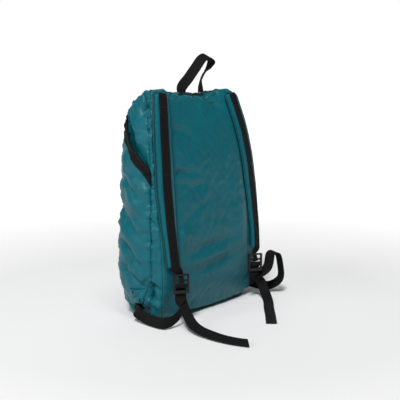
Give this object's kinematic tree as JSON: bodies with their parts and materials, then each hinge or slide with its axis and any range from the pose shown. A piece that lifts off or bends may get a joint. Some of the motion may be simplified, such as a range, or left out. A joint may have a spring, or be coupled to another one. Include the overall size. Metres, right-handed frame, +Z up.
{
  "type": "packable backpack",
  "caption": "Soft packable backpack in thin coated nylon, with padded shoulder straps, ladder-lock buckles, a haul loop, slanting side pockets and loose webbing tails.",
  "frame": {"origin": "middle of the bag's flat underside, on the floor that it stands on", "axes": "+Z up, shoulder straps and back panel towards -Y, front towards +Y, the picture's left strap towards -X"},
  "size_m": [0.3613, 0.3312, 0.4872],
  "materials": {
    "nylon": "satin",
    "nylon_shade": "satin",
    "webbing": "matte",
    "plastic": "satin"
  },
  "bodies": {
    "root": {"back_panel": "nylon", "front_panel": "nylon", "top_panel": "nylon", "base_panel": "nylon_shade", "side_gusset_left": "nylon", "side_gusset_right": "nylon", "side_panel_left": "nylon", "side_panel_right": "nylon", "pocket_left": "nylon", "pocket_right": "nylon", "pocket_binding_left": "webbing", "pocket_binding_right": "webbing", "shoulder_strap_left": "nylon", "shoulder_strap_right": "nylon", "strap_webbing_left": "webbing", "strap_webbing_right": "webbing", "ladder_lock_left": "plastic", "ladder_lock_right": "plastic", "lower_webbing_left": "webbing", "lower_webbing_right": "webbing", "anchor_tab_left": "nylon", "anchor_tab_right": "nylon", "haul_loop": "webbing", "zip_tape_front": "webbing", "zip_tape_top": "webbing", "zip_slider": "plastic", "zip_pull": "webbing"}
  },
  "joints": []
}
